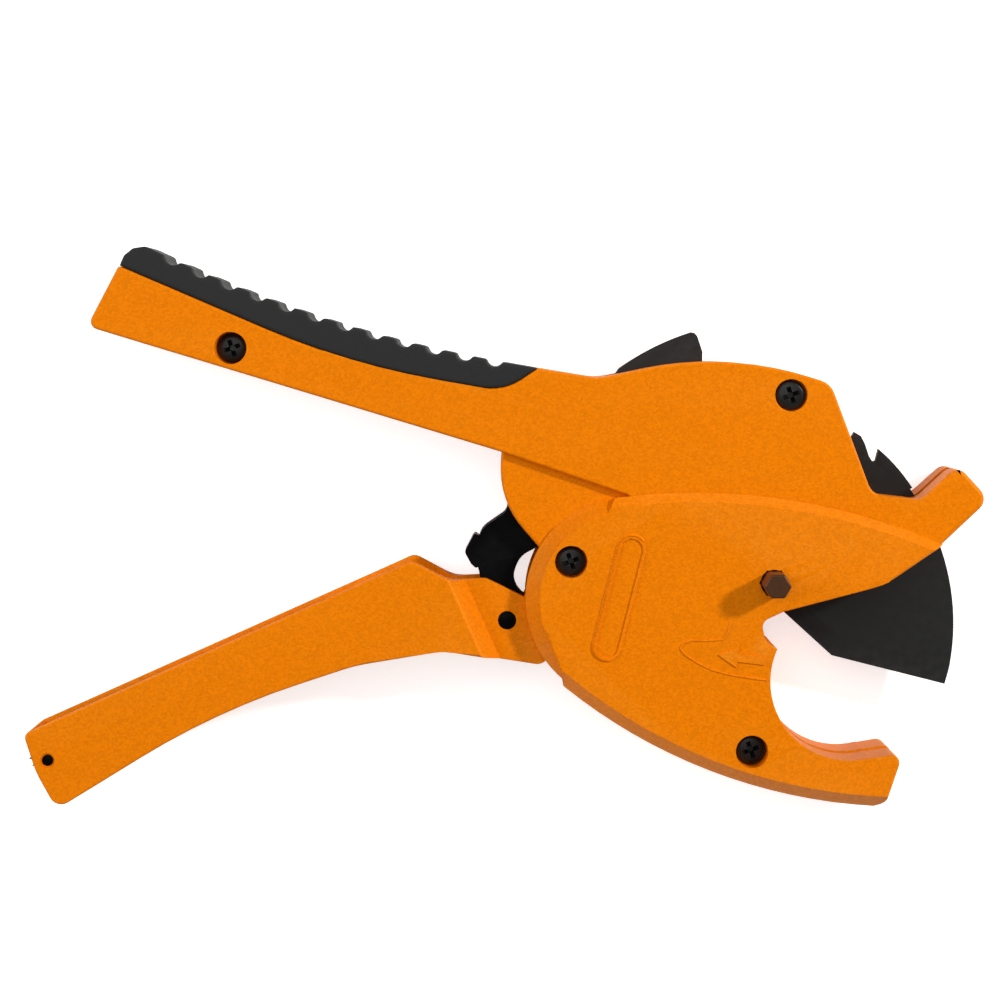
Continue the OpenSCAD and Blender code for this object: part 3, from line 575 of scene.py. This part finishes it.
def makeShell(nodeName, pieceName, settings):
    piece = mergedCopy(nodeName, pieceName)
    holes = [nodeCentre(name) for name in holeNodes]

    def depth(point):
        return abs(point.z - midPlane)

    def atHole(point):
        return any((point.xy - hole.xy).length < settings["holeReach"] for hole in holes)

    def isSquare(proud, turn):
        return proud and turn > settings["squareTurn"]

    def isFlatRim(middle, a, b, proud, turn):
        if not proud or turn < settings["squareTurn"] or atHole(middle):
            return False
        return nearAny(depth(a), outerLevels) and nearAny(depth(b), outerLevels)

    def isLug(middle):
        return middle.x > settings["lugFrom"][0] and middle.y > settings["lugFrom"][1]

    def inMouth(middle):
        away = (middle.xy - settings["mouthCentre"]).length
        return away < settings["mouthReach"] and not isLug(middle)

    def lugRim(middle, a, b, proud, turn):
        return isFlatRim(middle, a, b, proud, turn) and isLug(middle)

    def mouthRim(middle, a, b, proud, turn):
        return isFlatRim(middle, a, b, proud, turn) and inMouth(middle)

    def plainRim(middle, a, b, proud, turn):
        return isFlatRim(middle, a, b, proud, turn) and not isLug(middle) and not inMouth(middle)

    def screwRim(middle, a, b, proud, turn):
        if not isSquare(proud, turn) or not atHole(middle):
            return False
        return depth(a) > settings["screwRimFrom"] and nearAny(depth(b), outerLevels)

    def markEdge(middle, a, b, proud, turn):
        return isSquare(proud, turn) and min(depth(a), depth(b)) > settings["markFrom"]

    bevelEdges(piece, settings["lug"], settings["lugSegments"], lugRim)
    bevelEdges(piece, settings["mouth"], settings["rimSegments"], mouthRim)
    bevelEdges(piece, settings["rim"], settings["rimSegments"], plainRim)
    bevelEdges(piece, settings["screwRim"], settings["screwSegments"], screwRim)
    bevelEdges(piece, settings["mark"], settings["markSegments"], markEdge)
    startEdit(piece, "VERT")
    bpy.ops.mesh.select_all(action="SELECT")
    bpy.ops.mesh.dissolve_degenerate(threshold=settings["sliver"])
    bpy.ops.mesh.normals_make_consistent(inside=False)
    endEdit()
    smoothShade(piece)


makeShell("front_shell", "frontCasting", shellSettings)
makeShell("rear_shell", "rearCasting", shellSettings)
print("shells made")


lineSettings = {
    "path": [(-11.6, -10.3), (-12.4, -13.2), (-13.8, -15.0), (-17.5, -15.3), (-21.9, -15.2),
             (-24.4, -16.0), (-25.0, -17.4), (-23.8, -19.0), (-20.4, -21.2), (-16.7, -23.0),
             (-12.9, -24.1), (-9.1, -24.8), (-5.0, -25.4), (-1.9, -25.8)],
    "width": 0.3 * mm,
    "height": midPlane + 13 * mm,  # the panel's face
    "sides": 8,
}


def wireAlong(name, points, radius, sides):
    # a round wire through the points, turned into a mesh
    curve = bpy.data.curves.new(name, "CURVE")
    curve.dimensions = "3D"
    curve.bevel_depth = radius
    curve.bevel_resolution = max(1, sides // 2 - 1)
    curve.use_fill_caps = True
    spline = curve.splines.new("POLY")
    spline.points.add(len(points) - 1)
    for curvePoint, point in zip(spline.points, points):
        curvePoint.co = (*point, 1)
    wire = bpy.data.objects.new(name, curve)
    scene.collection.objects.link(wire)
    selectOnly(wire)
    bpy.ops.object.convert(target="MESH")
    wire = bpy.context.object
    wire.name = name
    startEdit(wire, "VERT")
    bpy.ops.mesh.select_all(action="SELECT")
    bpy.ops.mesh.remove_doubles(threshold=wireWeld)
    bpy.ops.mesh.normals_make_consistent(inside=False)
    endEdit()
    return wire


def finishPiece(piece, nodeName, replace=True, angle=30):
    slotName = nodeSlot[nodeName]
    piece.data.materials.clear()
    piece.data.materials.append(slotFinish[slotName])
    smoothShade(piece, angle)
    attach(piece, bodyOf[nodeName])
    if replace:
        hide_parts(nodeName)


def makeRaisedLine(settings):
    points = [(x * mm, y * mm, settings["height"]) for x, y in settings["path"]]
    line = wireAlong("raisedLine", points, settings["width"], settings["sides"])
    finishPiece(line, "front_shell", replace=False)


makeRaisedLine(lineSettings)
print("raised line made")


triggerSettings = {
    "rim": 0.6 * mm, "segments": 3, "rimLevel": 11 * mm, "levelSlack": 0.2 * mm, "rimTurn": 40,
    "pinClear": 3 * mm,
    "small": 0.25 * mm, "smallSegments": 2, "smallFrom": 5.5 * mm, "smallTo": 9.5 * mm,
    "smallTurn": 70,
    "level": 0.01 * mm, "shortest": 0.05 * mm, "neckEnd": -62 * mm,
}


def makeTrigger(settings):
    piece = mergedCopy("trigger_handle", "triggerHandle")
    latchCentre = nodeCentre("latch_pin").xy

    def depth(point):
        return abs(point.z - midPlane)

    def onSide(point):
        return nearAny(depth(point), [settings["rimLevel"]], settings["levelSlack"])

    def sideRim(middle, a, b, proud, turn):
        if not proud or turn <= settings["rimTurn"] or not onSide(a) or not onSide(b):
            return False
        return (middle.xy - latchCentre).length > settings["pinClear"]

    def innerEdge(middle, a, b, proud, turn):
        if not proud or turn <= settings["smallTurn"] or abs(a.z - b.z) >= settings["level"]:
            return False
        if (a - b).length <= settings["shortest"] or middle.x >= settings["neckEnd"]:
            return False
        return settings["smallFrom"] < depth(middle) < settings["smallTo"]

    bevelEdges(piece, settings["rim"], settings["segments"], sideRim)
    bevelEdges(piece, settings["small"], settings["smallSegments"], innerEdge)
    smoothShade(piece)


makeTrigger(triggerSettings)
print("trigger made")


gripSettings = {"voxel": 0.42 * mm, "smoothing": 0.5, "passes": 7}


def makeGrip(settings):
    # the moulding is rebuilt as one even skin, so that its ridges and ends can be softened
    piece = mergedCopy("grip_pad", "gripPad")
    skin = piece.modifiers.new("skin", "REMESH")
    skin.mode = "VOXEL"
    skin.voxel_size = settings["voxel"]
    soften = piece.modifiers.new("soften", "SMOOTH")
    soften.factor = settings["smoothing"]
    soften.iterations = settings["passes"]
    selectOnly(piece)
    bpy.ops.object.modifier_apply(modifier="skin")
    bpy.ops.object.modifier_apply(modifier="soften")
    bpy.ops.object.shade_smooth()
    print("grip faces:", len(piece.data.polygons))


makeGrip(gripSettings)
print("grip made")


stampedSettings = {
    "blade": {"piece": "bladePlate", "edge": 0.12 * mm},
    "drive_pawl": {"piece": "drivePawl", "edge": 0.28 * mm},
    "holding_pawl": {"piece": "holdingPawl", "edge": 0.2 * mm},
    "latch": {"piece": "thumbLatch", "edge": 0.22 * mm},
    "pin_clip": {"piece": "pinClip", "edge": 0.1 * mm},
    "blade_washers": {"piece": "bladeWashers", "edge": 0.1 * mm},
}
stampedEdges = {
    "turn": 60, "segments": 2, "smooth": 28,
    "level": 0.01 * mm,  # ends closer in height than this make a level edge
}


def makeStamped(nodeName, settings):
    # the edges of the flat faces are broken, as on stamped and ground parts
    piece = mergedCopy(nodeName, settings["piece"])

    def flatEdge(middle, a, b, proud, turn):
        return proud and turn > stampedEdges["turn"] and abs(a.z - b.z) < stampedEdges["level"]

    bevelEdges(piece, settings["edge"], stampedEdges["segments"], flatEdge)
    smoothShade(piece, stampedEdges["smooth"])


for nodeName, settings in stampedSettings.items():
    makeStamped(nodeName, settings)
print("stamped parts made")


def turnOnLathe(name, profile, centre, steps):
    # profile is (radius, height) from one end to the other, spun about the centre
    bpy.ops.object.select_all(action="DESELECT")
    bpy.ops.mesh.primitive_plane_add(size=1 * mm, location=(0, 0, 0))
    piece = bpy.context.object
    piece.name = piece.data.name = name
    startEdit(piece, "VERT")
    bpy.ops.mesh.select_all(action="SELECT")
    bpy.ops.mesh.merge(type="CENTER")
    radius, height = profile[0]
    bpy.ops.transform.translate(value=(centre.x + radius, centre.y, height))
    for nextRadius, nextHeight in profile[1:]:
        step = (nextRadius - radius, 0, nextHeight - height)
        bpy.ops.mesh.extrude_region_move(TRANSFORM_OT_translate={"value": step})
        radius, height = nextRadius, nextHeight
    bpy.ops.mesh.select_all(action="SELECT")
    bpy.ops.mesh.spin(steps=steps, angle=2 * math.pi, center=(centre.x, centre.y, 0),
                      axis=(0, 0, 1))
    bpy.ops.mesh.select_all(action="SELECT")
    bpy.ops.mesh.remove_doubles(threshold=weldDistance)
    bpy.ops.mesh.normals_make_consistent(inside=False)
    endEdit()
    return piece


pinSteps = 40
crownSteps = 5


def pinProfile(low, high, settings):
    # a plain pin with broken ends, the upper end domed
    radius, chamfer, dome = settings["radius"], settings["chamfer"], settings["dome"]
    top = radius - chamfer
    crown = []
    for i in range(crownSteps + 1):
        share = i / crownSteps
        crown.append((top - top * share, high - dome + dome * (1 - (1 - share) ** 2)))
    side = [(0, low), (top, low), (radius, low + chamfer), (radius, high - dome - chamfer)]
    return side + crown


pinSettings = {
    "pawl_pin": {"piece": "pawlPin", "radius": 2.4 * mm, "chamfer": 0.25 * mm, "dome": 0.15 * mm},
    "latch_pin": {"piece": "latchPin", "radius": 1.5 * mm, "chamfer": 0.2 * mm, "dome": 0.15 * mm},
    "holding_pawl_pin": {"piece": "holdingPawlPin", "radius": 1.5 * mm, "chamfer": 0.2 * mm, "dome": 0},
    "catch_bar": {"piece": "catchBar", "radius": 1.5 * mm, "chamfer": 0.2 * mm, "dome": 0},
}


def makePin(nodeName, settings):
    low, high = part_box(nodeName)
    profile = pinProfile(low.z, high.z, settings)
    pin = turnOnLathe(settings["piece"], profile, nodeCentre(nodeName), pinSteps)
    finishPiece(pin, nodeName)


for nodeName, settings in pinSettings.items():
    makePin(nodeName, settings)


bushSettings = {"outer": 3.5 * mm, "bore": 1.82 * mm, "chamfer": 0.3 * mm, "steps": 48}


def makeBush(settings):
    low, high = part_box("trigger_bush")
    bore, outer, chamfer = settings["bore"], settings["outer"], settings["chamfer"]
    profile = [
        (bore, low.z), (outer - chamfer, low.z), (outer, low.z + chamfer),
        (outer, high.z - chamfer), (outer - chamfer, high.z), (bore, high.z), (bore, low.z),
    ]
    bush = turnOnLathe("triggerBush", profile, nodeCentre("trigger_bush"), settings["steps"])
    finishPiece(bush, "trigger_bush")


makeBush(bushSettings)
print("pins and bush turned")


screwSettings = {
    "headRadius": 3.97 * mm, "headHeight": 2.4 * mm, "crown": 0.55 * mm, "steps": 40, "smooth": 35,
    "underChamfer": 0.15 * mm, "rimHeight": 0.5 * mm, "rimRound": (0.12 * mm, 0.2 * mm),
    "rimTop": 0.45 * mm, "rimFall": 0.78, "crownFall": 0.85, "crownShares": (0.75, 0.6, 0.4, 0.2, 0),
    "shankRadius": 1.72 * mm, "rootRadius": 1.42 * mm, "pitch": 0.7 * mm, "plainLength": 2.4 * mm,
    "crest": (0.4, 0.52), "runOut": 0.3 * mm,  # the thread's crest is a share of the pitch
    "tipShare": 0.7, "tipLength": 0.4 * mm, "threadStart": 0.5 * mm,
    "crossLength": 5.2 * mm, "crossWidth": 1.25 * mm, "crossDepth": 2.2 * mm, "turn": 20,
    "crossFoot": (0.3, 0.6, 1),  # how far each arm narrows at its foot
    "crossSink": 0.4,
}


def screwProfile(low, high, settings):
    root, shank, pitch = settings["rootRadius"], settings["shankRadius"], settings["pitch"]
    under = high - settings["headHeight"]
    profile = [(0, low), (root * settings["tipShare"], low), (root, low + settings["tipLength"])]
    height = low + settings["threadStart"]
    crestStart, crestEnd = (pitch * share for share in settings["crest"])
    while height < under - settings["plainLength"]:
        profile += [(root, height), (shank, height + crestStart), (shank, height + crestEnd)]
        height += pitch
    profile += [(root, height), (shank, height + settings["runOut"]), (shank, under)]
    radius, crown, chamfer = settings["headRadius"], settings["crown"], settings["underChamfer"]
    inward, down = settings["rimRound"]
    profile += [(radius - chamfer, under), (radius, under + chamfer)]
    profile += [(radius, high - crown - settings["rimHeight"]), (radius - inward, high - crown - down)]
    profile += [(radius - settings["rimTop"], high - crown * settings["rimFall"])]
    for share in settings["crownShares"]:
        profile.append((radius * share, high - crown * share ** 2 * settings["crownFall"]))
    return profile


def cutCrossArm(piece, centre, high, turn, settings):
    # a bar that narrows downwards cuts one arm of the cross
    bpy.ops.object.select_all(action="DESELECT")
    bpy.ops.mesh.primitive_cube_add(size=1, location=(0, 0, 0))
    cutter = bpy.context.object
    startEdit(cutter, "VERT")
    bpy.ops.mesh.select_all(action="SELECT")
    size = (settings["crossLength"], settings["crossWidth"], settings["crossDepth"])
    bpy.ops.transform.resize(value=size)
    bpy.ops.mesh.select_all(action="DESELECT")
    bpy.ops.object.mode_set(mode="OBJECT")
    for vertex in cutter.data.vertices:
        vertex.select = vertex.co.z < 0
    bpy.ops.object.mode_set(mode="EDIT")
    bpy.ops.transform.resize(value=settings["crossFoot"])
    endEdit()
    cutter.rotation_euler = (0, 0, math.radians(turn + settings["turn"]))
    cutter.location = (centre.x, centre.y, high - settings["crossDepth"] * settings["crossSink"])
    bpy.context.view_layer.update()
    cut = piece.modifiers.new("cross", "BOOLEAN")
    cut.operation = "DIFFERENCE"
    cut.solver = "EXACT"
    cut.object = cutter
    selectOnly(piece)
    bpy.ops.object.modifier_apply(modifier="cross")
    bpy.data.objects.remove(cutter)


def makeScrew(nodeName, pieceName, settings):
    low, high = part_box(nodeName)
    centre = nodeCentre(nodeName)
    profile = screwProfile(low.z, high.z, settings)
    piece = turnOnLathe(pieceName, profile, centre, settings["steps"])
    for turn in (0, 90):
        cutCrossArm(piece, centre, high.z, turn, settings)
    finishPiece(piece, nodeName, angle=settings["smooth"])


makeScrew("handle_screw", "handleScrew", screwSettings)
makeScrew("head_screw", "headScrew", screwSettings)
makeScrew("jaw_screw", "jawScrew", screwSettings)
makeScrew("trigger_pivot_screw", "triggerPivotScrew", screwSettings)
print("screws made")


bladePinSettings = {
    "flats": 6.3 * mm, "shank": 3.48 * mm, "neck": 2.7 * mm, "hexLength": 15 * mm,
    "chamfer": 0.4 * mm, "clipPlay": 0.05 * mm,
    "corner": 0.5 * mm, "crown": 0.55 * mm, "segments": 4, "upright": 1 * mm, "topSlack": 0.01 * mm,
    "steps": 48, "smooth": 32,
}


def makeBladePin(settings):
    low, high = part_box("blade_pin")
    clipLow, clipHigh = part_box("pin_clip")
    hexStart = high.z - settings["hexLength"]
    shank, neck, chamfer = settings["shank"], settings["neck"], settings["chamfer"]
    grooveLow, grooveHigh = clipLow.z - settings["clipPlay"], clipHigh.z + settings["clipPlay"]
    profile = [
        (0, low.z), (shank - chamfer, low.z), (shank, low.z + chamfer), (shank, grooveLow),
        (neck, grooveLow), (neck, grooveHigh), (shank, grooveHigh), (shank, hexStart), (0, hexStart),
    ]
    pin = turnOnLathe("bladePin", profile, Vector((0, 0, 0)), settings["steps"])
    hexRadius = settings["flats"] / (2 * math.cos(math.radians(30)))
    bpy.ops.object.select_all(action="DESELECT")
    bpy.ops.mesh.primitive_cylinder_add(vertices=6, radius=hexRadius, depth=settings["hexLength"],
                                        location=(0, 0, (high.z + hexStart) / 2),
                                        rotation=(0, 0, math.radians(30)))
    hexEnd = bpy.context.object
    bpy.ops.object.transform_apply(location=True, rotation=True)

    def upright(middle, a, b, proud, turn):
        return abs(a.z - b.z) > settings["upright"]

    def topEdge(middle, a, b, proud, turn):
        return min(a.z, b.z) > high.z - settings["topSlack"]

    bevelEdges(hexEnd, settings["corner"], settings["segments"], upright)
    bevelEdges(hexEnd, settings["crown"], settings["segments"], topEdge)
    bpy.ops.object.select_all(action="DESELECT")
    hexEnd.select_set(True)
    pin.select_set(True)
    bpy.context.view_layer.objects.active = pin
    bpy.ops.object.join()
    finishPiece(pin, "blade_pin", angle=settings["smooth"])


makeBladePin(bladePinSettings)
print("blade pin made")


springSettings = {  # sizes in mm, turns in degrees
    "trigger_spring": {"piece": "triggerSpring", "centre": "trigger_bush", "radius": 4.4, "wire": 0.34,
                       "z": (9.05, 10.1), "from": -60, "sweep": 490, "legs": (12, 9)},
    "pawl_spring": {"piece": "pawlSpring", "centre": "pawl_pin", "radius": 3.0, "wire": 0.25,
                    "z": (12.05, 12.9), "from": 330, "sweep": 540, "legs": (4, 4)},
    "holding_pawl_spring": {"piece": "holdingPawlSpring", "centre": "holding_pawl_pin", "radius": 2.1,
                            "wire": 0.26, "z": (14.75, 15.6), "from": 185, "sweep": 505, "legs": (5, 4)},
    "latch_spring": {"piece": "latchSpring", "centre": "latch_pin", "radius": 2.0, "wire": 0.19,
                     "z": (9.72, 9.78), "from": 0, "sweep": 345, "legs": (0, 0)},
}
springWires = {"stepAngle": 15, "fewest": 12, "sides": 8, "smooth": 60}


def springLine(centre, settings):
    # the wire's middle line: a helix, with a straight leg off each end where it has legs
    radius, (low, high), sweep = settings["radius"], settings["z"], settings["sweep"]
    points = []
    steps = max(springWires["fewest"], round(sweep / springWires["stepAngle"]))
    for i in range(steps + 1):
        angle = math.radians(settings["from"] - sweep * i / steps)
        points.append(Vector((centre.x + radius * math.cos(angle), centre.y + radius * math.sin(angle),
                              low + (high - low) * i / steps)))
    first = math.radians(settings["from"])
    last = math.radians(settings["from"] - sweep)
    if settings["legs"][0]:
        points.insert(0, points[0] + Vector((-math.sin(first), math.cos(first), 0)) * settings["legs"][0])
        points.append(points[-1] + Vector((math.sin(last), -math.cos(last), 0)) * settings["legs"][1])
    return [point * mm for point in points]


def makeSpring(nodeName, settings):
    points = springLine(nodeCentre(settings["centre"]) / mm, settings)
    spring = wireAlong(settings["piece"], points, settings["wire"] * mm, springWires["sides"])
    finishPiece(spring, nodeName, angle=springWires["smooth"])


for nodeName, settings in springSettings.items():
    makeSpring(nodeName, settings)
print("springs made")
